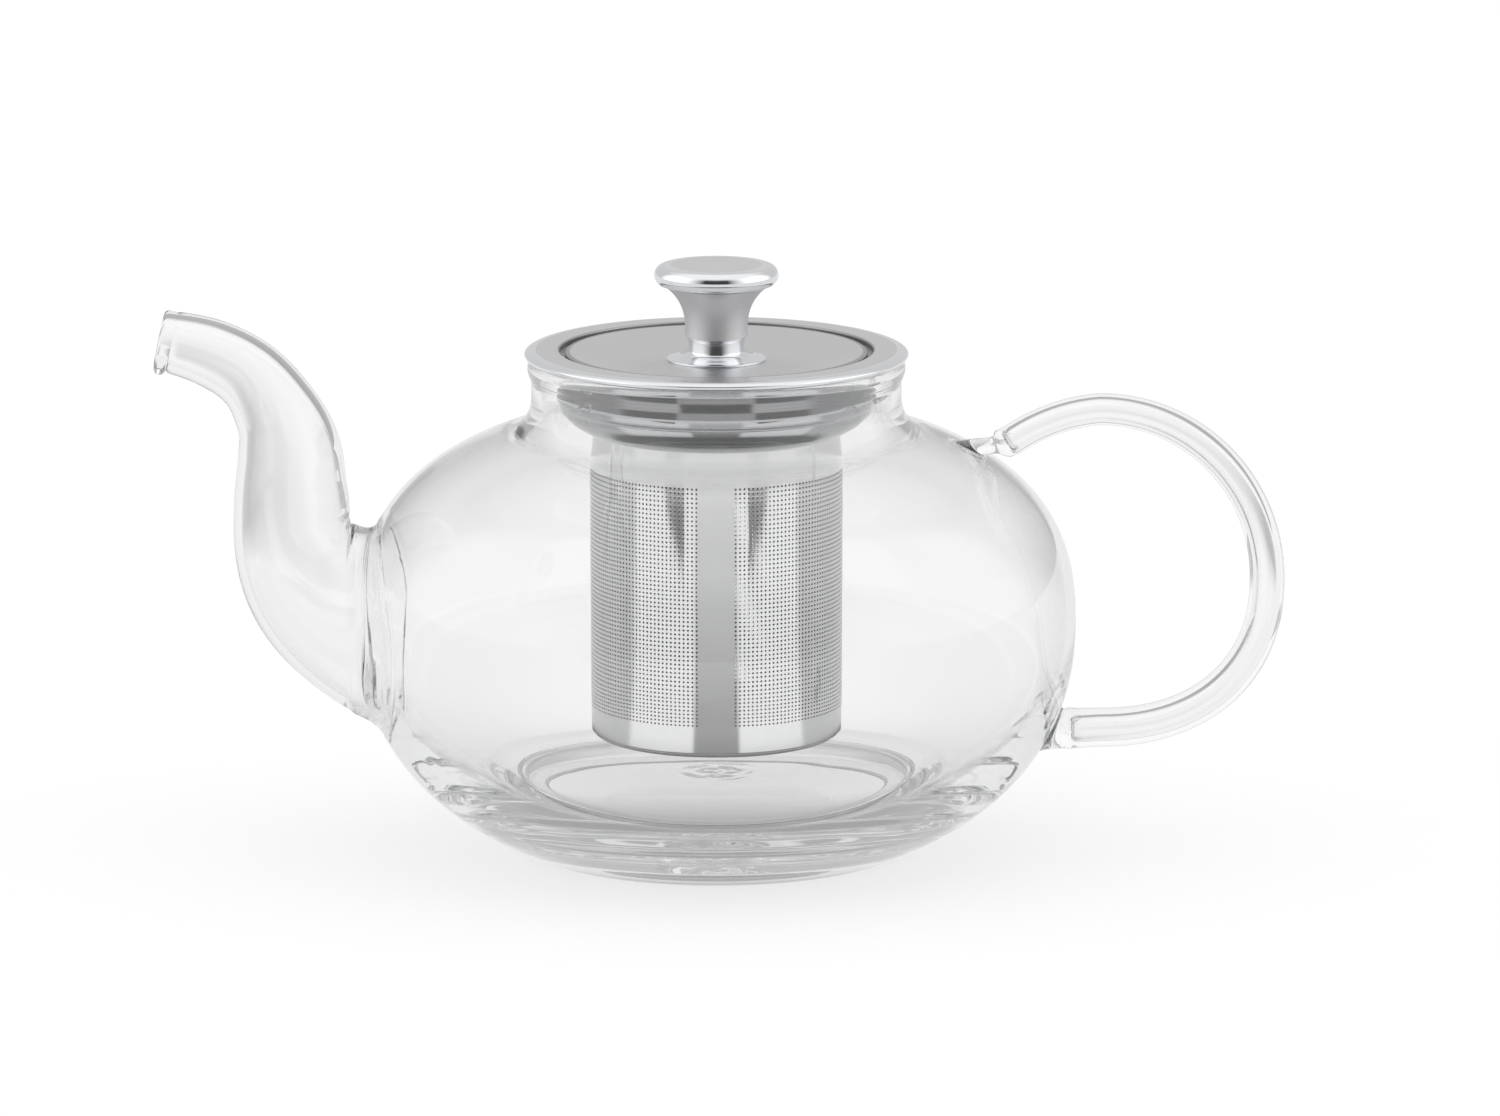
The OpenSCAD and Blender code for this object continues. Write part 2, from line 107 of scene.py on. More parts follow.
def sort_paths(tree, path, open_air, in_pot, in_glass, straight):
    """A tone by how the light got there: mirrored in the open, by metal inside the pot
    or within the glass itself, or not mirrored at all."""
    through, mirrors = path["Transmission Depth"], path["Glossy Depth"]
    tone = mixed(tree, figure(tree, "LESS_THAN", through, 0.5), in_glass, open_air)
    inside = figure(tree, "MULTIPLY", figure(tree, "GREATER_THAN", through, 3.5),
                    figure(tree, "LESS_THAN", mirrors, 1.5))
    tone = mixed(tree, inside, tone, in_pot)
    unmirrored = figure(tree, "MAXIMUM", path["Is Camera Ray"], path["Is Transmission Ray"])
    unmirrored = figure(tree, "MULTIPLY", unmirrored, figure(tree, "LESS_THAN", mirrors, 0.5))
    return mixed(tree, unmirrored, tone, straight)


world = bpy.data.worlds.new("studio")
world.use_nodes = True
scene.world = world
sky = world.node_tree
sky.nodes.clear()
toward = add_node(sky, "ShaderNodeSeparateXYZ",
                  {0: sky.nodes.new("ShaderNodeTexCoord").outputs["Generated"]}).outputs
turn = turn_from_front(sky, toward[0], toward[1])
rise = figure(sky, "DEGREES", figure(sky, "ARCSINE", toward[2]))
soft_boxes = [(0, 0.06), (22, 0.06), (36, 0.62), (60, 1.35), (108, 1.35), (124, 0.68), (180, 0.68)]
inner_boxes = [(0, 0.16), (24, 0.16), (28, 0.7), (66, 0.68), (80, 0.45), (180, 0.5)]
table_cards = [(0, 0.52), (27, 0.52), (29, 0.17), (66, 0.2), (74, 0.45), (180, 0.55)]
glass_boxes = [(0, 0.68), (30, 0.72), (70, 0.98), (118, 0.95), (128, 0.4), (180, 0.4)]
walls, walls_in, cards, walls_glass = (
    ramp(sky, turn, stops, 180) for stops in (soft_boxes, inner_boxes, table_cards, glass_boxes))
above_cards = ramp(sky, rise, [(0, 0), (8.5, 0), (9.5, 1)], 90)
walls_in = mixed(sky, above_cards, cards, walls_in)
overhead = ramp(sky, rise, [(0, 0.0), (34, 0.0), (58, 1.0)], 90)
shown = sort_paths(sky, sky.nodes.new("ShaderNodeLightPath").outputs,
                   open_air=mixed(sky, overhead, walls, 1.05),
                   in_pot=mixed(sky, overhead, walls_in, 1.0),
                   in_glass=mixed(sky, overhead, walls_glass, 0.95), straight=1.0)
backing = add_node(sky, "ShaderNodeBackground", {"Color": shown, "Strength": 1.0})
add_node(sky, "ShaderNodeOutputWorld", {"Surface": backing.outputs[0]})
scene.cycles.max_bounces = scene.cycles.glossy_bounces = scene.cycles.transmission_bounces = 128
scene.view_settings.view_transform = "Standard"

# ---------- Floor ----------
# A white paper sweep under the pot, whose lit part keeps the real shadow. Its tone in
# reflections and through glass is painted: painted shade makes polished metal pick it up
# greyer in front, as though the lens kept the light off, and makes glass show it darker
# under the pot and off to the sides.
floor_half = 6.0
floor_mesh = bpy.data.meshes.new("floor")
floor_mesh.from_pydata([(-floor_half, -floor_half, 0), (floor_half, -floor_half, 0),
                        (floor_half, floor_half, 0), (-floor_half, floor_half, 0)],
                       [], [(0, 1, 2, 3)])
floor = bpy.data.objects.new("floor", floor_mesh)
scene.collection.objects.link(floor)
paper = bpy.data.materials.new("white_sweep")
paper.use_nodes = True
tree = paper.node_tree
tree.nodes.clear()
spot = add_node(tree, "ShaderNodeSeparateXYZ",
                {0: tree.nodes.new("ShaderNodeNewGeometry").outputs["Position"]}).outputs
turn = turn_from_front(tree, spot[0], spot[1])
away = figure(tree, "SQRT", figure(tree, "ADD", figure(tree, "MULTIPLY", spot[0], spot[0]),
                                   figure(tree, "MULTIPLY", spot[1], spot[1])))
# painted reflection of the floor in metal in the pot: painted shade in a strip in front, darkest
# near the pot, and painted light brighter to either side
middle = ramp(tree, away, [(0, 0.3), (0.1, 0.36), (0.12, 0.44), (0.16, 0.52), (0.2, 0.62),
                           (0.27, 0.72), (0.42, 0.82), (0.6, 0.9)])
sides = ramp(tree, turn, [(0, 1.2), (74, 1.2), (80, 0.72), (180, 0.74)], 180)
painted_near_floor = mixed(tree, ramp(tree, turn, [(0, 0), (17, 0), (20, 1)], 180), middle, sides)

# painted reflection of a dark lamp stand on either side: a dark wedge on the floor that widens
# outward, seen only in reflections
wedge_edge, wedge_spread, painted_wedge_dark = 28.5, 10.0, 0.88
wedge_reach = figure(tree, "MULTIPLY", wedge_spread,
               ramp(tree, away, [(0, 0), (0.37, 0), (0.41, 0.3), (0.47, 0.63), (0.6, 0.95)]))
off_wedge = figure(tree, "SUBTRACT", figure(tree, "SUBTRACT", turn, wedge_edge), wedge_reach)
on_painted_wedge = figure(tree, "LESS_THAN", figure(tree, "ABSOLUTE", off_wedge), wedge_reach)
painted_wedge_tone = figure(tree, "SUBTRACT", 1.0, figure(tree, "MULTIPLY", on_painted_wedge, painted_wedge_dark))
painted_near_floor = figure(tree, "MULTIPLY", painted_near_floor, painted_wedge_tone)

# what metal in the pot picks up, all painted reflection: painted shade under the pot, then the
# floor, its edge and cards
picked_up = 0.17
for edge, width, tone in ((0.088, 0.007, painted_near_floor), (0.618, 0.01, 1.05),
                          (2.2, 0.01, ramp(tree, turn, table_cards, 180))):
    share = ramp(tree, away, [(0, 0), (edge, 0), (edge + width, 1)], 4)
    picked_up = mixed(tree, share, picked_up, tone)
# painted shade under the pot, as the glass mirrors the floor
under = ramp(tree, away, [(0, 0.35), (0.05, 0.35), (0.09, 0.9)])
path = tree.nodes.new("ShaderNodeLightPath").outputs
echoed = sort_paths(tree, path, open_air=0.85, in_pot=picked_up, in_glass=under, straight=0.0)

# what is seen straight through glass: painted shade under the pot, darker toward the front, then
# pale paper and painted dark far sides
pale = 0.72
base_front = 0.04
painted_shade_under_pot = ramp(tree, figure(tree, "ADD", spot[1], base_front),
                 [(0, 0.36), (0.012, 0.42), (0.04, 0.84)])
painted_dark_sides = ramp(tree, turn, [(0, 0.26), (152, 0.28), (168, pale), (180, pale)], 180)
aside = mixed(tree, ramp(tree, away, [(0, 0), (0.3, 0), (0.4, 1)]), pale, painted_dark_sides)
through_glass = mixed(tree, ramp(tree, away, [(0, 0), (0.04, 0), (0.06, 1)]), painted_shade_under_pot, aside)
own_light = mixed(tree, path["Is Transmission Ray"], 0.74, through_glass)
lit = add_node(tree, "ShaderNodeBsdfDiffuse", {"Color": (0.3, 0.3, 0.3, 1)})
glow = add_node(tree, "ShaderNodeEmission", {"Color": (1, 1, 1, 1), "Strength": own_light})
seen = add_node(tree, "ShaderNodeAddShader", {0: lit.outputs[0], 1: glow.outputs[0]})
echo = add_node(tree, "ShaderNodeEmission", {"Color": echoed, "Strength": 1.0})
choice = add_node(tree, "ShaderNodeMixShader",
                  {0: figure(tree, "GREATER_THAN", path["Glossy Depth"], 0.5),
                   1: seen.outputs[0], 2: echo.outputs[0]})
add_node(tree, "ShaderNodeOutputMaterial", {"Surface": choice.outputs[0]})
floor.data.materials.append(paper)


# ---------- Glass pot ----------
# Clear borosilicate, blown in one mould as a round body. The spout and the handle,
# a tube with its ends sealed, are fused on in the flame, so the three are one piece.
belly_r = 75.3 * mm
belly_z = 48 * mm
shoulder_rise = 45.5 * mm
shoulder_power = 2.5
base_power = 2.23
foot_r = 39 * mm
wall_t = 2 * mm
neck_r = 38.7 * mm
bore_r = 36.5 * mm
neck_sweep = 6 * mm
floor_r = 51.5 * mm
floor_edge_z = 12.5 * mm
kick_z = 7.5 * mm
outer_start_z, inner_start_z = 0.9 * mm, 13.4 * mm
pontil_r = 9 * mm
pontil_lift = 0.64 * mm
columns = 192
row_step = 1.5 * mm


def squared(share, power):
    return np.clip(1 - share ** power, 0, None) ** (1 / power)


def walked_along(line):
    """How far along the line each of its points is."""
    return np.r_[0, np.cumsum(np.linalg.norm(np.diff(line, axis=0), axis=1))]


def spread(points, step):
    """The same line with its points evenly spaced, no further apart than step."""
    points = np.asarray(points, float)
    along = walked_along(points)
    places = np.linspace(0, along[-1], max(2, math.ceil(along[-1] / step) + 1))
    return np.stack([np.interp(places, along, column) for column in points.T], axis=1)


def swept(start, corner, finish, t):
    """The point at t, from 0 to 1, on the curve that leaves start toward the corner."""
    return (1 - t) ** 2 * start + 2 * t * (1 - t) * corner + t * t * finish


def bend(start, corner, finish, count=24):
    start, corner, finish = (np.asarray(p, float) for p in (start, corner, finish))
    return swept(start, corner, finish, np.linspace(0, 1, count)[:, None])


def squared_line(widest, height, power, end_r):
    """From the widest ring in to end_r, on a squared ellipse."""
    share = 1 - np.linspace(0, 1, 400) ** 2 * (1 - end_r / widest)
    return np.stack([widest * share, belly_z + height * squared(share, power)], axis=1)


def skin(widest, rise, neck, drop, end_r):
    """One side of the body's wall, from end_r at the bottom up into the neck."""
    low = squared_line(widest, -drop, base_power, end_r)[::-1]
    high = squared_line(widest, rise, shoulder_power, neck + neck_sweep)
    corner_z = belly_z + rise * squared(neck / widest, shoulder_power)
    turn_up = bend(high[-1], (neck, corner_z), (neck, corner_z + neck_sweep))
    return spread(np.concatenate([low, high[1:], turn_up[1:]]), row_step / 30)


def full_drop(widest, passed_r, depth):
    return depth / squared(passed_r / widest, base_power)


outer_skin = skin(belly_r, shoulder_rise, neck_r, full_drop(belly_r, foot_r, belly_z), foot_r)
inner_r = belly_r - wall_t
inner_skin = skin(inner_r, shoulder_rise - wall_t, bore_r,
                  full_drop(inner_r, floor_r, belly_z - floor_edge_z), floor_r)
lip_line = np.array([(38.7, 98.6), (38.75, 99.6), (39.15, 100.4), (39.45, 101.4), (39.5, 102.2),
                     (39.3, 103.1), (38.8, 103.7), (38.1, 103.96), (37.5, 104), (37, 103.86),
                     (36.65, 103.5), (36.5, 102.9), (36.5, 101.8)]) * mm
kick_line = np.concatenate([
    spread([(0, kick_z), (36 * mm, kick_z + 0.5 * mm)], 2.5 * mm),
    spread(bend((37 * mm, kick_z + 0.52 * mm), (45.6 * mm, kick_z + 0.8 * mm),
                (43.2 * mm, 4.4 * mm)), 0.7 * mm),
    spread(bend((43 * mm, 4.1 * mm), (41.4 * mm, 1.5 * mm), (38.9 * mm, 1.2 * mm), 16), 0.7 * mm),
    spread(bend((38.6 * mm, 1.05 * mm), (37.3 * mm, 0.1 * mm), (38.9 * mm, 0), 16), 0.2 * mm),
    np.array([(39.4, 0.04), (39.9, 0.15)]) * mm])
floor_line = np.concatenate([
    spread(bend((51.2 * mm, 12.75 * mm), (50.4 * mm, 12.2 * mm), (49 * mm, 12.05 * mm)), 0.5 * mm),
    spread([(48.6 * mm, 12.02 * mm), (45.4 * mm, 11.72 * mm)], 1.2 * mm),
    spread(bend((44.6 * mm, 11.62 * mm), (43.2 * mm, 11.3 * mm), (41.4 * mm, 11.24 * mm)),
           0.7 * mm),
    spread([(40 * mm, 11.21 * mm), (10 * mm, 10.76 * mm)], 2 * mm),
    spread([(9.4 * mm, 10.75 * mm), (0, 10.7 * mm)], 0.6 * mm)])
outer_rows = spread(outer_skin[outer_skin[:, 1] > outer_start_z], row_step)
inner_rows = spread(inner_skin[inner_skin[:, 1] > inner_start_z], row_step)[::-1]
neck_out = spread([outer_rows[-1], lip_line[0]], 1 * mm)[1:-1]
neck_in = spread([lip_line[-1], inner_rows[0]], 1 * mm)[1:-1]
outline = np.concatenate([kick_line, outer_rows, neck_out, lip_line, neck_in, inner_rows,
                          floor_line])
outer_first = len(kick_line)
inner_first = len(outline) - len(floor_line) - len(inner_rows)

corner_list = []
face_list = []


def add_points(points):
    first = sum(len(p) for p in corner_list)
    corner_list.append(np.asarray(points, float).reshape(-1, 3))
    return first + np.arange(len(corner_list[-1]))


def join_rings(a, b, inside=False):
    """Faces between two rings of the same number of points, outward unless inside."""
    a2, b2 = np.roll(a, -1), np.roll(b, -1)
    quads = np.stack([b, b2, a2, a] if inside else [a, a2, b2, b], axis=1)
    face_list.extend(map(tuple, quads.tolist()))


turns = np.arange(columns) * 2 * math.pi / columns
grid = []
for r, z in outline:
    if r < 1e-7:
        grid.append(np.full(columns, add_points([(0, 0, z)])[0]))
        continue
    lift = 0.0
    if z > kick_z + wall_t and r < pontil_r:
        curl = np.sin(2 * turns + r / mm * 1.1) + 0.6 * np.sin(3 * turns - r / mm * 1.7 + 1)
        lift = pontil_lift * curl * (r / pontil_r) * np.exp(-(r / (0.62 * pontil_r)) ** 2)
    grid.append(add_points(np.stack([r * np.cos(turns), r * np.sin(turns),
                                     z + lift + 0 * turns], axis=1)))
grid = np.array(grid)


def at_skin(dense, turn, along):
    """Points of the skin at an angle round the pot and a distance along the skin."""
    walked = walked_along(dense)
    r, z = (np.interp(along, walked, dense[:, i]) for i in (0, 1))
    return np.stack([r * np.cos(turn), r * np.sin(turn), z], axis=1)


def skin_place(dense, y, z, side, below_neck=97 * mm):
    """Angle and distance along the skin of points given by their y and height."""
    walked = walked_along(dense)
    low = dense[:, 1] < below_neck
    along = np.interp(z, dense[low, 1], walked[low])
    r = np.interp(along, walked, dense[:, 0])
    tilt = np.arcsin(np.clip(y / r, -1, 1))
    return (tilt if side > 0 else math.pi - tilt), along


left_out = set()


def open_block(first_row, rows, middle, side, half_rows, half_columns, upward):
    """Leaves a block of the grid out. Gives the ring of points round it, from below
    and counter-clockwise as seen from outside the pot."""
    row = first_row + int(np.argmin(np.abs(rows[:, 1] - middle)))
    column = 0 if side > 0 else columns // 2
    down, up = (row - half_rows, row + half_rows) if upward else (row + half_rows, row - half_rows)
    step = 1 if upward else -1
    low, high = column - half_columns, column + half_columns
    ring = [(down, c) for c in range(column, high)]
    ring += [(r, high) for r in range(down, up, step)]
    ring += [(up, c) for c in range(high, low, -1)]
    ring += [(r, low) for r in range(up, down, -step)]
    ring += [(down, c) for c in range(low, column)]
    for r in range(min(down, up), max(down, up)):
        for c in range(low, high):
            left_out.add((r, c % columns))
    return ring


def ring_angles(count):
    return np.arange(count) * 2 * math.pi / count


def skirt_rings(ring, rows, first_row, dense, target, steps, inside=False):
    """Rings on the skin from the edge of a left-out block to the target ring."""
    walked = walked_along(dense)
    edge_along = np.interp([rows[r - first_row][1] for r, c in ring], dense[:, 1], walked)
    edge_turn = np.array([c * 2 * math.pi / columns for r, c in ring])
    last = np.array([grid[r][c % columns] for r, c in ring])
    for i in range(1, steps + 1):
        t = i / steps
        now = add_points(at_skin(dense, edge_turn + (target[0] - edge_turn) * t,
                                 edge_along + (target[1] - edge_along) * t))
        join_rings(last, now, inside)
        last = now
    return last


def path_ring(station, radius, angles, side):
    """A ring across a path: station is x, z and the tilt of the ring in degrees."""
    x, z, tilt = station[0], station[1], math.radians(station[2])
    up = -np.cos(angles) * radius
    return np.stack([x + up * math.sin(tilt), side * np.sin(angles) * radius,
                     z + up * math.cos(tilt)], axis=1)


def smoothed(stations, steps):
    stations = np.asarray(stations, float)
    padded = np.concatenate([stations[:1], stations, stations[-1:]])
    made = []
    for i in range(len(stations) - 1):
        a, b, c, d = padded[i:i + 4]
        for k in range(steps):
            t = k / steps
            made.append(0.5 * (2 * b + (c - a) * t + (2 * a - 5 * b + 4 * c - d) * t * t
                               + (3 * b - a - 3 * c + d) * t ** 3))
    return np.array(made + [stations[-1]])


# the spout: its outside and its channel start from two blocks of the belly
spout_z = 46.3 * mm
spout_t = 1.8 * mm
spout_root_r = 20 * mm
flare_y, flare_z = 12.5 * mm, 2.4 * mm
ridge_height, ridge_width = 0.16 * mm, 0.42 * mm
weld_x, weld_rise = -75.7 * mm, 1.9 * mm
spout_path = smoothed(np.array([
    (-76.9, 48.8, 0, 39.2), (-82.5, 53.4, 20, 33.7), (-86.4, 58.6, 39, 30.2),
    (-88.6, 65.4, 61, 26.9), (-89.1, 75.1, 82, 24), (-89.4, 85, 80, 21.6),
    (-92, 92.5, 60, 18.2), (-97.7, 100.4, 38, 15.45), (-106.1, 105.2, 20, 14.2),
    (-116.3, 107.9, 12, 12.6)]) * (mm, mm, 1, mm), 8)
mouth_run = 3.2 * mm
drip_reach, drip_run = 1.1 * mm, 1.3 * mm


def raised(points, height, axis_z=None):
    """Points lifted off the skin, or off the spout's axis where its height is given."""
    out = points * (1, 1, 0)
    if axis_z is not None:
        out = points * (0.35, 1, 1) - (0, 0, axis_z)
    return points + out / np.linalg.norm(out, axis=1)[:, None] * height


def spout_start(rows, first_row, dense, radius, upward, inside):
    """Rings from the belly's skin out to the spout, with a low ridge where they meet."""
    ring = open_block(first_row, rows, spout_z, -1, half_rows=18, half_columns=16, upward=upward)
    angles = ring_angles(len(ring))
    y = -np.sin(angles)
    up = -np.cos(angles)

    def flare(wider):
        return skin_place(dense, y * (spout_root_r + flare_y + wider),
                          spout_z + up * (spout_root_r + flare_z + wider), -1)

    ridge = 0.0 if inside else ridge_height
    last = skirt_rings(ring, rows, first_row, dense, flare(1.2 * mm), 5, inside)
    for wider in (0.8 * mm, 0.5 * mm, 0.25 * mm):
        now = add_points(raised(at_skin(dense, *flare(wider)),
                                ridge * math.exp(-(wider / ridge_width) ** 2)))
        join_rings(last, now, inside)
        last = now
    start = at_skin(dense, *flare(0.0))
    corner = at_skin(dense, *skin_place(dense, y * radius, spout_z + up * radius, -1))
    finish = path_ring((weld_x, spout_z + weld_rise, 0), radius, angles, -1)
    for t in (0, 0.03, 0.06, 0.1, 0.18, 0.28, 0.38, 0.48, 0.58, 0.68, 0.78, 0.84, 0.9, 0.95, 1):
        now = add_points(raised(swept(start, corner, finish, t),
                                ridge * math.exp(-(t / 0.05) ** 2), spout_z))
        join_rings(last, now, inside)
        last = now
    return last, angles


spout_rims = []
for rows, first_row, dense, inward, upward in (
        (outer_rows, outer_first, outer_skin, 0.0, True),
        (inner_rows, inner_first, inner_skin, spout_t, False)):
    inside = inward > 0
    last, angles = spout_start(rows, first_row, dense, spout_root_r - inward, upward, inside)
    for x, z, tilt, d in spout_path:
        if np.hypot(*(spout_path[-1][:2] - (x, z))) < mouth_run:
            break
        now = add_points(path_ring((x, z, tilt), d / 2 - inward, angles, -1))
        join_rings(last, now, inside)
        last = now
    spout_rims.append(last)
mouth = spout_path[-1]
mouth_way = np.array([-math.cos(math.radians(mouth[2])), math.sin(math.radians(mouth[2]))])
lip_round = spout_t / 2
drip = np.clip(np.cos(angles) * 1.6 - 0.6, 0, 1) ** 0.5
last = spout_rims[0]
rim_steps = [(-mouth_run + i * 0.2 * mm, 0.0) for i in range(1, 12)]
rim_steps += [(-lip_round + lip_round * math.sin(a), lip_round * (1 - math.cos(a)))
              for a in np.linspace(0, math.pi, 9)]
for back, inward in rim_steps:
    swell = math.sqrt(max(0.0, 1 - ((back + drip_run) / drip_run) ** 2))
    radius = mouth[3] / 2 - inward + drip_reach * drip * swell * (1 - inward / spout_t)
    centre = mouth[:2] + mouth_way * back
    now = add_points(path_ring((centre[0], centre[1], mouth[2]), radius, angles, -1))
    join_rings(last, now)
    last = now
join_rings(last, spout_rims[1])

# the handle: a loop of tube from the low root on the belly up to the shoulder
loop_x = 80.2 * mm
loop_z = 57 * mm
half_w = 35.2 * mm
half_low, half_high = 32 * mm, 36 * mm
low_power = 2.25
loop_end = 126.0
end_lean = 1.6 * mm
tube_d, tube_swell = 6.6 * mm, 1.7 * mm


def loop_at(a):
    """x and z of the tube's middle, a degrees round the loop from its outermost point."""
    s, c = math.sin(math.radians(a)), math.cos(math.radians(a))
    if a < 0:
        power = 2 / low_power
        return loop_x + half_w * abs(c) ** power, loop_z - half_low * abs(s) ** power
    lean = end_lean * max(0.0, a - 90) / (loop_end - 90)
    return loop_x + half_w * c, loop_z + (half_high - lean) * s


def loop_station(a):
    here, before, after = loop_at(a), loop_at(a - 1), loop_at(a + 1)
    tilt = math.degrees(math.atan2(after[1] - before[1], -(after[0] - before[0]))) % 360
    return here[0], here[1], tilt


def handle_d(a):
    return tube_d + tube_swell * ((loop_end - a) / (loop_end + 90)) ** 1.5


def handle_start(middle, radius, stretch, fillet, weld):
    """Rings from the belly's skin out to the tube, for one root of the handle."""
    ring = open_block(outer_first, outer_rows, middle, 1, half_rows=5, half_columns=3, upward=True)
    angles = ring_angles(len(ring))
    walked = walked_along(outer_skin)
    along = np.interp(middle, outer_skin[:, 1], walked)
    skin_r = np.interp(along, walked, outer_skin[:, 0])

    def skin_ring(size):
        return (np.sin(angles) * size / skin_r, along - np.cos(angles) * size * stretch)

    last = skirt_rings(ring, outer_rows, outer_first, outer_skin, skin_ring(radius + fillet), 3)
    start = at_skin(outer_skin, *skin_ring(radius + fillet))
    corner = at_skin(outer_skin, *skin_ring(radius * 1.02))
    finish = path_ring(weld, radius, angles, 1)
    for t in np.linspace(0, 1, 8)[1:]:
        now = add_points(swept(start, corner, finish, t))
        join_rings(last, now)
        last = now
    return last, angles


low_last, spokes = handle_start(middle=24.6 * mm, radius=4.2 * mm, stretch=1.14,
                                fillet=1.6 * mm, weld=(73.4 * mm, 24.75 * mm, 0))
high_last, spokes = handle_start(middle=84.9 * mm, radius=1.75 * mm, stretch=1.87,
                                 fillet=0.25 * mm, weld=(57.2 * mm, 85.3 * mm, -6))
for x, z, tilt, r in ((58.3, 85.4, -16, 1.9), (58.9, 85.45, -23, 2.4), (59.3, 85.5, -28, 2.85),
                      (59.9, 85.6, -32, 3.2)):
    now = add_points(path_ring((x * mm, z * mm, tilt), r * mm, spokes, 1))
    join_rings(high_last, now)
    high_last = now
last = low_last
for x, z, d in ((73.8, 24.78, 8.75), (74.3, 24.8, 8.8), (74.8, 24.82, 8.55), (76.2, 24.85, 8.4),
                (78.2, 24.95, 8.35)):
    now = add_points(path_ring((x * mm, z * mm, 0), d / 2 * mm, spokes, 1))
    join_rings(last, now)
    last = now
for a in np.arange(-90, 123.5, 2.0):
    x, z, tilt = loop_station(a)
    now = add_points(path_ring((x, z, tilt - 180), handle_d(a) / 2, spokes, 1))
    join_rings(last, now)
    last = now
half_turn = len(spokes) // 2
join_rings(last, np.array([high_last[(half_turn - i) % len(spokes)] for i in range(len(spokes))]))

# the sealed bore inside that tube
bore_d, bore_end = 3.9 * mm, 0.8
bore_angles = ring_angles(20)
bore_path = [(x * mm, 24.8 * mm, 0) for x in (74.3, 74.9, 77)]
for a in np.append(np.arange(-90, 121, 3.0), (122.4, 123.3)):
    x, z, tilt = loop_station(a)
    bore_path.append((x, z, tilt - 180))
last = None
for i, station in enumerate(bore_path):
    end = min(i, len(bore_path) - 1 - i)
    radius = bore_d / 2 * (bore_end if end == 0 else 1.0)
    now = add_points(path_ring(station, radius, bore_angles, 1))
    if last is None:
        face_list.append(tuple(int(v) for v in now))
    else:
        join_rings(last, now, inside=True)
    last = now
face_list.append(tuple(int(v) for v in last[::-1]))

for k in range(len(outline) - 1):
    for j in range(columns):
        if (k, j) in left_out:
            continue
        a, b = int(grid[k][j]), int(grid[k][(j + 1) % columns])
        c, d = int(grid[k + 1][(j + 1) % columns]), int(grid[k + 1][j])
        face_list.append((a, c, d) if a == b else (a, b, c) if c == d else (a, b, c, d))

corners = np.concatenate(corner_list)
used = np.unique(np.concatenate([np.array(f) for f in face_list]))
renumber = np.zeros(len(corners), int)
renumber[used] = np.arange(len(used))
glass_mesh = bpy.data.meshes.new("glass_pot")
glass_mesh.from_pydata(corners[used].tolist(), [],
                       [tuple(renumber[list(f)].tolist()) for f in face_list])
glass_mesh.polygons.foreach_set("use_smooth", [True] * len(glass_mesh.polygons))
glass_mesh.update()
glass_pot = bpy.data.objects.new("glass_pot", glass_mesh)
scene.collection.objects.link(glass_pot)

clear_glass = bpy.data.materials.new("clear_borosilicate")
clear_glass.use_nodes = True
tree = clear_glass.node_tree
tree.nodes.clear()
place = tree.nodes.new("ShaderNodeTexCoord").outputs["Object"]
ripple = add_node(tree, "ShaderNodeTexNoise", {"Vector": place, "Scale": 38.0, "Detail": 1.0})
wave = add_node(tree, "ShaderNodeBump", {"Height": ripple.outputs[0], "Strength": 0.25,
                                         "Distance": 0.0006})
# painted shade: the glass turns grey where its surface is seen at a grazing angle, standing in for
# dark edges
grazing = add_node(tree, "ShaderNodeLayerWeight", {"Blend": 0.5}).outputs["Facing"]
edge = add_node(tree, "ShaderNodeMapRange", {"Value": grazing, "From Min": 0.5, "From Max": 0.95},
                interpolation_type="SMOOTHSTEP").outputs[0]
clear = add_node(tree, "ShaderNodeMix", {0: edge, 6: (0.985, 0.986, 0.985, 1),
                                         7: (0.8, 0.802, 0.802, 1)}, data_type="RGBA").outputs[2]
glassy = add_node(tree, "ShaderNodeBsdfPrincipled",
                  {"Base Color": clear, "Roughness": 0.0, "IOR": 1.47,
                   "Transmission Weight": 1.0, "Normal": wave.outputs[0]})
smoke = add_node(tree, "ShaderNodeVolumeAbsorption",
                 {"Color": (0.72, 0.74, 0.73, 1), "Density": 3.0})
add_node(tree, "ShaderNodeOutputMaterial",
         {"Surface": glassy.outputs[0], "Volume": smoke.outputs[0]})
glass_mesh.materials.append(clear_glass)
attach(glass_pot, "pot")
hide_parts("glass_body", "glass_spout", "glass_handle")
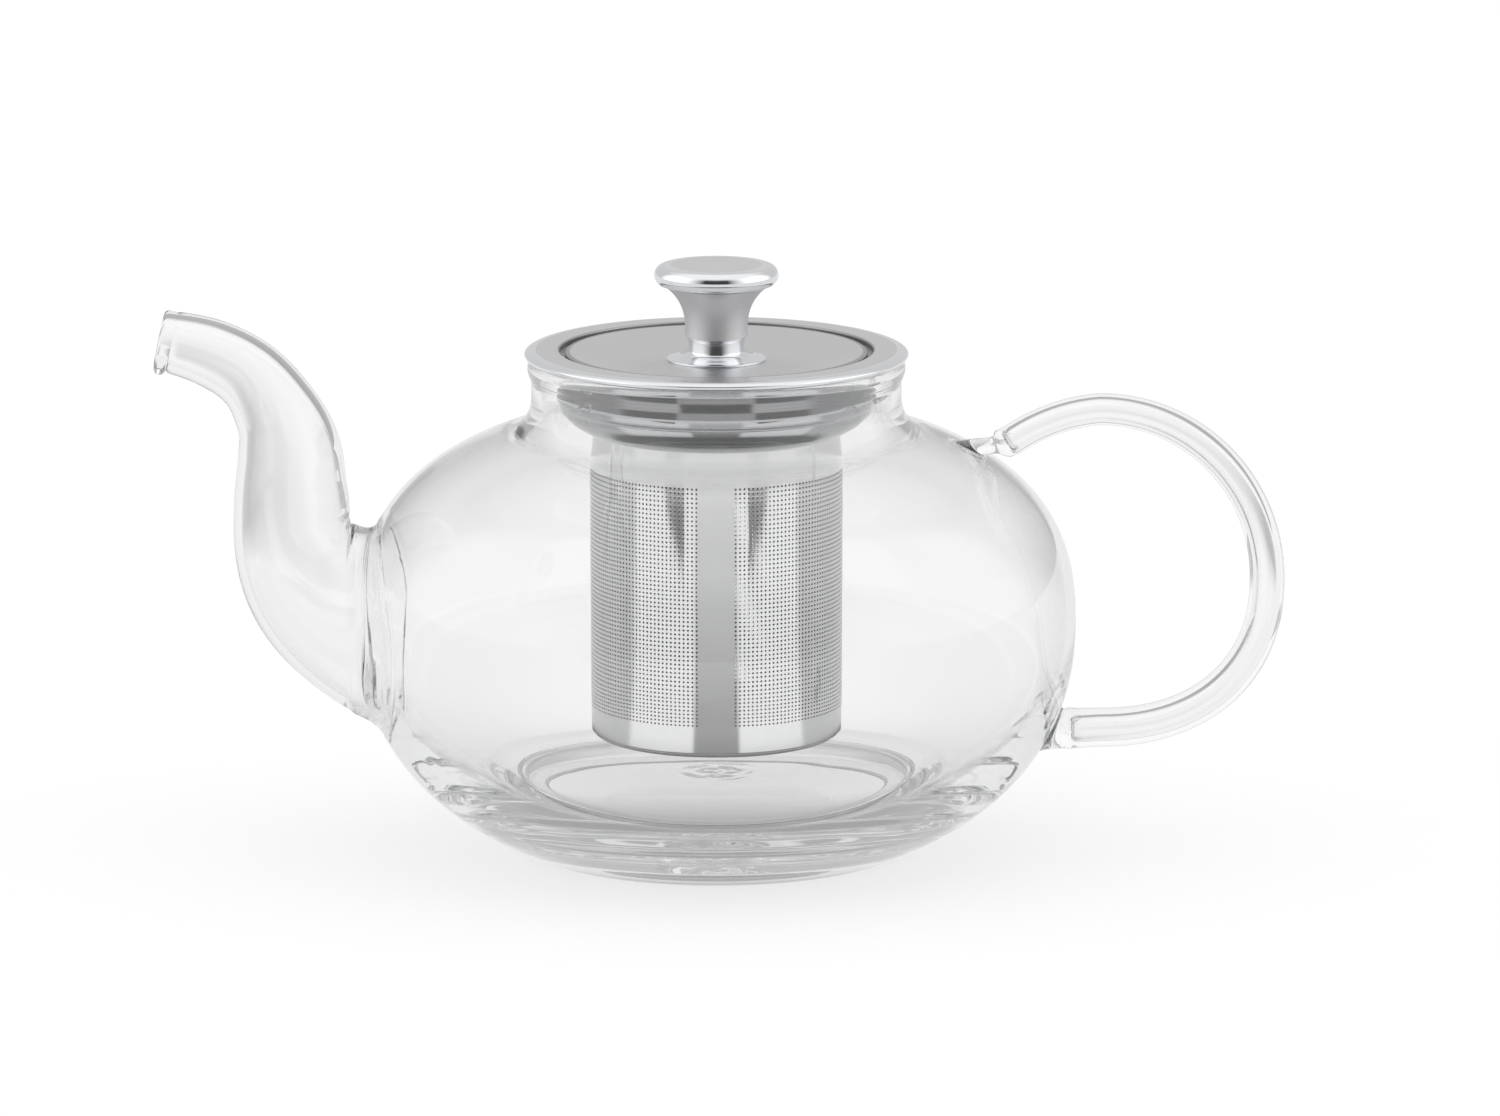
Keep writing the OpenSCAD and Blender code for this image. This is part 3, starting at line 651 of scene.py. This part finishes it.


# ---------- Flange of the infuser ----------
# A ring of stainless sheet pressed over the lip of the glass. Its edge is rolled and
# polished, its flat is brushed satin, and the lid sits in the step inside it. The step and
# the back are dark bare steel, partly painted shade in the gap.
def turned(name, corners, finishes, materials, segments=256, arc_points=6):
    """Turned or pressed metal about the pot's axis. Corners are (r, z, rounding) in
    millimetres, and finishes gives the material of the edge that follows each one."""
    corner_rows = np.array(corners, float)
    count = len(corner_rows)
    on_axis = [row[0] < 1e-6 for row in corner_rows]
    line, edge_finish = [], []
    for i, (r, z, rounding) in enumerate(corner_rows):
        here = np.array((r, z))
        before, after = corner_rows[i - 1][:2], corner_rows[(i + 1) % count][:2]
        if rounding <= 0 or on_axis[i]:
            line.append(here)
            edge_finish.append(finishes[i])
            continue
        back, ahead = before - here, after - here
        reach_back, reach_ahead = np.linalg.norm(back), np.linalg.norm(ahead)
        back, ahead = back / reach_back, ahead / reach_ahead
        half = math.acos(float(np.clip(back @ ahead, -1, 1))) / 2
        cut = min(rounding / math.tan(half), 0.49 * reach_back, 0.49 * reach_ahead)
        start, finish = here + back * cut, here + ahead * cut
        points = bend(start, here, finish, arc_points) if half < 1.5 else [start, finish]
        line.extend(points)
        edge_finish.extend([finishes[i]] * len(points))
    line = np.array(line) * mm
    area = np.sum(line[:, 0] * np.roll(line[:, 1], -1) - np.roll(line[:, 0], -1) * line[:, 1])
    if area < 0:
        line = line[::-1]
        edge_finish = edge_finish[::-1]
        edge_finish = edge_finish[1:] + edge_finish[:1]
    ways = np.roll(line, -1, axis=0) - line
    outward = np.stack([ways[:, 1], -ways[:, 0]], axis=1)
    blended = outward + np.roll(outward, 1, axis=0)
    around = np.arange(segments) * 2 * math.pi / segments
    points, normals, rings = [], [], []
    for (r, z), (nr, nz) in zip(line, blended):
        if r < 1e-7:
            rings.append(np.full(segments, len(points)))
            points.append((0.0, 0.0, z))
            normals.append((0.0, 0.0, math.copysign(1.0, nz)))
            continue
        rings.append(len(points) + np.arange(segments))
        size = math.hypot(nr, nz) or 1.0
        for a in around:
            points.append((r * math.cos(a), r * math.sin(a), z))
            normals.append((nr / size * math.cos(a), nr / size * math.sin(a), nz / size))
    faces, face_finish = [], []
    for i, ring in enumerate(rings):
        after = rings[(i + 1) % len(rings)]
        if ring[0] == ring[1] and after[0] == after[1]:
            continue
        for j in range(segments):
            k = (j + 1) % segments
            face = [int(v) for v in (ring[j], ring[k], after[k], after[j])]
            faces.append(tuple(dict.fromkeys(face)))
            face_finish.append(edge_finish[i])
    mesh = bpy.data.meshes.new(name)
    mesh.from_pydata(points, [], faces)
    for material in materials:
        mesh.materials.append(material)
    mesh.polygons.foreach_set("material_index", face_finish)
    mesh.polygons.foreach_set("use_smooth", [True] * len(faces))
    mesh.normals_split_custom_set_from_vertices(normals)
    piece = bpy.data.objects.new(name, mesh)
    scene.collection.objects.link(piece)
    return piece


def arc(middle, reach, first, last, count):
    """Corners for turned along part of an ellipse, from one angle to another."""
    return [(middle[0] + reach[0] * math.cos(a), middle[1] + reach[1] * math.sin(a), 0)
            for a in np.linspace(first, last, count)]


def steel(name, colour, roughness, uneven, grain, anisotropy=0.0, height=0.0, lay="turned"):
    """Stainless steel with grain lines that run round the axis, or up a rolled sheet."""
    made = bpy.data.materials.new(name)
    made.use_nodes = True
    tree = made.node_tree
    tree.nodes.clear()
    spot = tree.nodes.new("ShaderNodeTexCoord").outputs["Object"]
    x, y, z = add_node(tree, "ShaderNodeSeparateXYZ", {0: spot}).outputs
    radius = figure(tree, "SQRT", figure(tree, "ADD", figure(tree, "MULTIPLY", x, x),
                                         figure(tree, "MULTIPLY", y, y)))
    safe = figure(tree, "MAXIMUM", radius, 1e-5)
    cosine, sine = figure(tree, "DIVIDE", x, safe), figure(tree, "DIVIDE", y, safe)
    long_way, cross_way = (1.3, grain) if lay == "turned" else (grain * 0.028, 60.0)
    place = add_node(tree, "ShaderNodeCombineXYZ",
                     {0: figure(tree, "ADD", figure(tree, "MULTIPLY", cosine, long_way),
                                figure(tree, "MULTIPLY", radius, cross_way)),
                      1: figure(tree, "MULTIPLY", sine, long_way),
                      2: figure(tree, "MULTIPLY", z, cross_way)}).outputs[0]
    lines = add_node(tree, "ShaderNodeTexNoise", {"Vector": place, "Scale": 1.0, "Detail": 3.0,
                                                  "Roughness": 0.62}).outputs[0]
    cloud = add_node(tree, "ShaderNodeTexNoise",
                     {"Vector": spot, "Scale": 55.0, "Detail": 2.0}).outputs[0]
    both = figure(tree, "ADD", figure(tree, "MULTIPLY", lines, 0.75),
                  figure(tree, "MULTIPLY", cloud, 0.25))
    rough = add_node(tree, "ShaderNodeMapRange",
                     {"Value": both, "From Min": 0.3, "From Max": 0.7,
                      "To Min": roughness - uneven, "To Max": roughness + uneven}).outputs[0]
    darker = tuple(c * 0.94 for c in colour)
    tint = add_node(tree, "ShaderNodeMix", {0: both, 6: (*darker, 1), 7: (*colour, 1)},
                    data_type="RGBA").outputs[2]
    metal = add_node(tree, "ShaderNodeBsdfPrincipled",
                     {"Base Color": tint, "Metallic": 1.0, "Roughness": rough,
                      "Anisotropic": anisotropy})
    if height > 0:
        relief = add_node(tree, "ShaderNodeBump", {"Height": lines, "Strength": 0.5,
                                                   "Distance": height})
        tree.links.new(relief.outputs[0], metal.inputs["Normal"])
    if anisotropy > 0:
        way = add_node(tree, "ShaderNodeTangent", direction_type="RADIAL", axis="Z")
        tree.links.new(way.outputs[0], metal.inputs["Tangent"])
    add_node(tree, "ShaderNodeOutputMaterial", {"Surface": metal.outputs[0]})
    return made


polished = steel("polished_steel", (0.84, 0.85, 0.87), 0.06, 0.025, 900.0, height=0.000002)
brushed_ring = steel("brushed_ring", (0.70, 0.70, 0.71), 0.22, 0.03, 5200.0, 0.3, 0.000003)
# dark steel for hidden faces and for the gap round the lid: partly bare, unpolished sheet and
# partly painted shade
bare_steel_with_gap_shade = steel("bare_steel_with_gap_shade", (0.42, 0.42, 0.43), 0.38, 0.06, 1500.0, height=0.000006)
rolled_low = arc((39.2, 104.9), (0.9, 0.9), -math.pi / 2, 0, 9)[:-1]
rolled_high = arc((37.7, 104.9), (2.4, 0.9), 0, math.pi / 2, 15)
rolled = [(38.3, 104.0, 0.1)] + rolled_low + rolled_high
step_and_back = [(32.8, 105.8, 0.35), (32.8, 104.4, 0.25), (30.8, 104.4, 0.15),
                 (30.8, 103.8, 0.15), (33.4, 103.8, 0.2), (33.4, 105.2, 0.2), (38.3, 105.2, 0.2)]
flange_outline = rolled + step_and_back
flange_finish = [0] * (len(rolled) - 1) + [1] + [2] * len(step_and_back)
flange = turned("flange", flange_outline, flange_finish, [polished, brushed_ring, bare_steel_with_gap_shade])
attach(flange, "infuser")
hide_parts("infuser_flange")

# ---------- Bowl of the infuser ----------
# A cup drawn from the same sheet, welded under the flange and necked down to the
# collar that the sleeve slips over. A small lug pressed out of it steadies it.
# darker than the flange's steel: partly drawn, unpolished sheet and partly painted shade under the
# flange
drawn_steel_with_shade = steel("drawn_steel_with_shade", (0.48, 0.485, 0.495), 0.07, 0.02, 1500.0, height=0.000001)
bowl_t = 0.6
bowl_top_r, bowl_top_z, bowl_widest_z = 32.61, 103.8, 96.2
bowl_wall_h, bowl_round_h = 6.7, 8.6
bowl_mid_r = 22.0
bowl_rx = 33.1 - bowl_mid_r
bowl_end = math.acos((26.3 - bowl_mid_r) / bowl_rx)


def bowl_wall(inset):
    """The wall, which leans out a little more toward its foot, then the rounded bottom."""
    ry = bowl_round_h / math.sin(bowl_end) - inset
    leaning = [(bowl_top_r - inset + bowl_wall_h * (0.0175 * u + 0.0437 * u * u),
                bowl_top_z - bowl_wall_h * u, 0) for u in np.linspace(0, 1, 8)[:-1]]
    return leaning + arc((bowl_mid_r, bowl_widest_z), (bowl_rx - inset, -ry), -0.1, bowl_end, 18)


bowl_outline = bowl_wall(0) + [(25.9, 87.5, 0.1), (25.9, 84.8, 0.1), (25.3, 84.8, 0.1)]
bowl_outline += bowl_wall(bowl_t)[::-1]
# the top of its outer wall, under the flange, takes the dark bare steel with its painted shade
bowl = turned("infuser_bowl_drawn", bowl_outline, [1, 1] + [0] * (len(bowl_outline) - 2),
              [drawn_steel_with_shade, bare_steel_with_gap_shade])
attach(bowl, "infuser")
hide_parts("infuser_bowl")

lug_reach, lug_top, lug_root, lug_half = 35.9 * mm, 97.4 * mm, 32.8 * mm, 1.5 * mm
lug_side = np.concatenate([
    bend((lug_root, lug_top), (lug_reach, lug_top + 0.2 * mm), (lug_reach, lug_top - 0.9 * mm), 8),
    bend((lug_reach, lug_top - 1.0 * mm), (lug_reach - 0.5 * mm, lug_top - 2 * mm),
         (lug_root, lug_top - 3 * mm), 8)])
lug_middle = lug_side.mean(axis=0)
lug_slices = (-1, -0.93, -0.7, 0.7, 0.93, 1)
lug_end_pull = 0.82
lug_points, lug_faces = [], []
for y_share in lug_slices:
    pull = lug_end_pull if abs(y_share) == 1 else 1.0
    for x, z in lug_middle + (lug_side - lug_middle) * pull:
        lug_points.append((x, y_share * lug_half, z))
count, last = len(lug_side), len(lug_slices) - 1
for i in range(last):
    for j in range(count):
        k = (j + 1) % count
        lug_faces.append((i * count + j, i * count + k, (i + 1) * count + k, (i + 1) * count + j))
lug_faces += [tuple(range(count))[::-1], tuple(range(last * count, (last + 1) * count))]
lug_mesh = bpy.data.meshes.new("bowl_lug")
lug_mesh.from_pydata(lug_points, [], lug_faces)
lug_mesh.polygons.foreach_set("use_smooth", [True] * len(lug_faces))
lug_mesh.materials.append(drawn_steel_with_shade)
lug = bpy.data.objects.new("bowl_lug", lug_mesh)
scene.collection.objects.link(lug)
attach(lug, "infuser")

# ---------- Perforated sleeve ----------
# Stainless sheet etched with some nine thousand round holes, rolled into a tube with
# a plain strip in front and one behind, where its welded seam runs down.
sleeve_r = 26.3 * mm
sleeve_in_r = 25.9 * mm
sleeve_low, sleeve_high = 23.2 * mm, 87.6 * mm
hole_rows, hole_columns = 56, 82
holes_low, holes_high = 29.64 * mm, 81.06 * mm
strip_half = math.radians(7.84)
hole_share, flat_to_corner, hole_corners = 0.46, 0.924, 8
collar_taper, taper_above = 0.026, 1 * mm
sleeve_steel = steel("rolled_steel", (0.72, 0.723, 0.727), 0.09, 0.02, 2600.0, 0.0, 0.000001,
                     lay="rolled")
# dark steel for the hole walls and the inside of the tube: partly etched finish and partly painted
# shade inside the sleeve
etched_steel_with_shade = steel("etched_steel_with_shade", (0.26, 0.26, 0.265), 0.5, 0.06, 1500.0, 0.0, 0.000006)


def sleeve_half(name, side):
    """Half of the tube, to the right or the left of the plain strips."""
    strip = np.linspace(0, strip_half, 5)[:-1]
    middle = np.linspace(strip_half, math.pi - strip_half, hole_columns + 1)
    across = np.r_[strip, middle, (math.pi - strip)[::-1]]
    turn = -math.pi / 2 + side * across
    first_column = len(strip)
    bands_low = np.linspace(sleeve_low, holes_low, 5)[:-1]
    bands_high = np.linspace(holes_high, sleeve_high, 6)[1:]
    up = np.r_[bands_low, np.linspace(holes_low, holes_high, hole_rows + 1), bands_high]
    first_row = len(bands_low)
    points = []
    a, z = np.meshgrid(turn, up)
    for r in (sleeve_r - collar_taper * np.clip(z - holes_high - taper_above, 0, None),
              sleeve_in_r):
        points.append(np.stack([r * np.cos(a), r * np.sin(a), z], axis=-1).reshape(-1, 3))
    wide, tall = len(turn), len(up)
    shift = wide * tall
    next_point = 2 * shift
    hole_turns = math.pi / hole_corners + ring_angles(hole_corners)
    smooth, flat, inner = [], [], []

    def lattice(i, j):
        return i * wide + j

    for i in range(tall - 1):
        for j in range(wide - 1):
            a, b = lattice(i, j), lattice(i, j + 1)
            c, d = lattice(i + 1, j + 1), lattice(i + 1, j)
            holed = (first_row <= i < first_row + hole_rows
                     and first_column <= j < first_column + hole_columns)
            if not holed:
                smooth.append((a, b, c, d))
                smooth.append((a + shift, d + shift, c + shift, b + shift))
                inner.append(len(smooth) - 1)
                continue
            mid_turn, half_turn = (turn[j] + turn[j + 1]) / 2, (turn[j + 1] - turn[j]) / 2
            mid_z, half_z = (up[i] + up[i + 1]) / 2, (up[i + 1] - up[i]) / 2
            hole_turn = mid_turn + np.cos(hole_turns) * half_turn * hole_share / flat_to_corner
            hole_z = mid_z + np.sin(hole_turns) * half_z * hole_share / flat_to_corner
            for r in (sleeve_r, sleeve_in_r):
                points.append(np.stack([r * np.cos(hole_turn), r * np.sin(hole_turn), hole_z],
                                       axis=1))
            h = [next_point + k for k in range(hole_corners)]
            next_point += 2 * hole_corners
            # h[0] is right and a little up, and the others follow counter-clockwise
            skin_faces = [(b, c, h[0], h[7]), (c, h[1], h[0]), (c, d, h[2], h[1]), (d, h[3], h[2]),
                          (d, a, h[4], h[3]), (a, h[5], h[4]), (a, b, h[6], h[5]), (b, h[7], h[6])]
            for face in skin_faces:
                smooth.append(face)
                smooth.append(tuple(v + (shift if v < shift else hole_corners)
                                    for v in face[::-1]))
                inner.append(len(smooth) - 1)
            for k in range(hole_corners):
                n = (k + 1) % hole_corners
                flat.append((h[k], h[n], h[n] + hole_corners, h[k] + hole_corners))
    for j in range(wide - 1):
        a, b = lattice(0, j), lattice(0, j + 1)
        flat.append((b, a, a + shift, b + shift))
        a, b = lattice(tall - 1, j), lattice(tall - 1, j + 1)
        flat.append((a, b, b + shift, a + shift))
    for i in range(tall - 1):
        a, d = lattice(i, 0), lattice(i + 1, 0)
        flat.append((a, d, d + shift, a + shift))
        a, d = lattice(i, wide - 1), lattice(i + 1, wide - 1)
        flat.append((d, a, a + shift, d + shift))
    faces = smooth + flat
    if side < 0:
        faces = [f[::-1] for f in faces]
    mesh = bpy.data.meshes.new(name)
    mesh.from_pydata(np.concatenate(points).tolist(), [], faces)
    is_flat = np.r_[np.zeros(len(smooth), bool), np.ones(len(flat), bool)]
    mesh.polygons.foreach_set("use_smooth", ~is_flat)
    face_sizes = np.zeros(len(faces), int)
    mesh.polygons.foreach_get("loop_total", face_sizes)
    loop_edges = np.zeros(len(mesh.loops), int)
    mesh.loops.foreach_get("edge_index", loop_edges)
    sharp = np.zeros(len(mesh.edges), bool)
    sharp[loop_edges[np.repeat(is_flat, face_sizes)]] = True
    mesh.edges.foreach_set("use_edge_sharp", sharp)
    mesh.materials.append(sleeve_steel)
    mesh.materials.append(etched_steel_with_shade)
    # the hole walls, edges and inside take the dark steel with its painted shade
    finish = is_flat.astype(int)
    finish[inner] = 1
    mesh.polygons.foreach_set("material_index", finish)
    piece = bpy.data.objects.new(name, mesh)
    scene.collection.objects.link(piece)
    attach(piece, "infuser")
    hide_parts("infuser_sleeve")


sleeve_half("sleeve_right", 1)
sleeve_half("sleeve_left", -1)

# ---------- Base cup ----------
# A shallow cup pressed from thin sheet, pushed up into the foot of the sleeve and
# held by spot welds through its rim.
cup = turned("base_cup", [
    (0, 21.7, 0), (25.9, 21.7, 1.5), (25.9, 28.2, 0.1), (25.5, 28.2, 0.1), (25.5, 22.1, 1.1),
    (0, 22.1, 0)], [0] * 6, [sleeve_steel], arc_points=10)
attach(cup, "infuser")
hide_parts("infuser_base")

# ---------- Lid ----------
# A dished disc of sheet with a satin top, turned on its face. Its edge is bent down
# to rest on the step of the flange, and a skirt under it keeps it central.
lid_satin = steel("lid_satin", (0.69, 0.69, 0.70), 0.3, 0.03, 5200.0, 0.6, 0.000003)
pad_r, lid_r, pad_z, lid_dish, lid_t = 11.0, 31.6, 103.6, 2.0, 0.8
dish = [(r, pad_z + lid_dish * (max(0, r - pad_r) / (lid_r - pad_r)) ** 2, 0)
        for r in np.linspace(pad_r, 30.6, 16)]
lid_top = [(0, pad_z, 0), (6, pad_z, 0)] + dish
lid_edge = [(31.25, 105.44, 0.3), (31.6, 105.2, 0.2), (31.6, 104.42, 0.15), (31.0, 104.42, 0.1)]
lid_under = [(r, z - lid_t, 0) for r, z, _ in lid_top[::-1]]
lid_finish = [1] * (len(lid_top) - 1) + [0] * (1 + len(lid_edge) + len(lid_under))
# the edge and the underside take the dark bare steel with its painted shade in the gap
lid = turned("lid_disc", lid_top + lid_edge + lid_under, lid_finish, [bare_steel_with_gap_shade, lid_satin])
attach(lid, "lid")
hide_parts("lid_plate")

# ---------- Skirt, washer and screw ----------
# Plain turned pieces on the underside of the lid: the skirt is spot-welded to it, and
# the screw goes up through its washer into the knob.
plain_satin = steel("skirt_satin", (0.74, 0.74, 0.75), 0.26, 0.05, 3000.0, 0.3, 0.000006)
for name, material in (("lid_skirt", plain_satin), ("lid_washer", plain_satin),
                       ("lid_screw", polished)):
    nodes[name].data.materials.clear()
    nodes[name].data.materials.append(material)


# ---------- Knob ----------
# Three turned pieces of stainless steel on one screw: a polished foot that flares onto
# the lid, a satin trumpet, and a cap with a polished rim and a satin finger hollow.
def curved(start, corner, finish, count):
    """Corners for turned along a bend."""
    return [(r, z, 0) for r, z in bend(start, corner, finish, count)]


foot_outline = [(0, 103.6, 0), (10.4, 103.6, 0.15), (10.4, 103.95, 0.15)]
foot_outline += curved((10.1, 104.1), (5.8, 104.3), (5.8, 105.8), 14)
foot_outline += curved((5.8, 106.4), (5.8, 107.6), (6.15, 108.3), 6)
foot_outline += [(6.2, 108.6, 0.12), (0, 108.6, 0)]
foot = turned("knob_foot_turned", foot_outline, [0] * len(foot_outline), [polished], 192)

stem_satin = steel("stem_satin", (0.70, 0.70, 0.71), 0.5, 0.05, 4200.0, 0.0, 0.000008)
stem_curve = curved((6.6, 111.6), (6.9, 116.4), (11.0, 119.4), 16)
stem_outline = [(0, 108.6, 0), (6.6, 108.6, 0.2), (6.5, 110.2, 0)] + stem_curve + [(0, 119.4, 0)]
stem = turned("knob_stem_turned", stem_outline, [0] * len(stem_outline), [stem_satin], 192)

cap_satin = steel("cap_satin", (0.78, 0.78, 0.79), 0.24, 0.04, 5200.0, 0.5, 0.000008)
cap_edge = arc((11.0, 121.5), (2.0, 2.1), -math.pi / 2, math.pi / 2, 15)
cap_hollow = curved((9.5, 123.6), (7.0, 122.88), (0.0, 122.7), 12)
cap_outline = [(0, 119.4, 0)] + cap_edge + cap_hollow
cap = turned("knob_cap_turned", cap_outline,
             [0] * (1 + len(cap_edge)) + [1] * len(cap_hollow), [polished, cap_satin], 192)
for piece, node, finish in ((foot, "knob_foot", "steel_polished"),
                            (stem, "knob_stem", "steel_satin"),
                            (cap, "knob_cap", "steel_polished")):
    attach(piece, "lid")
    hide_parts(node)
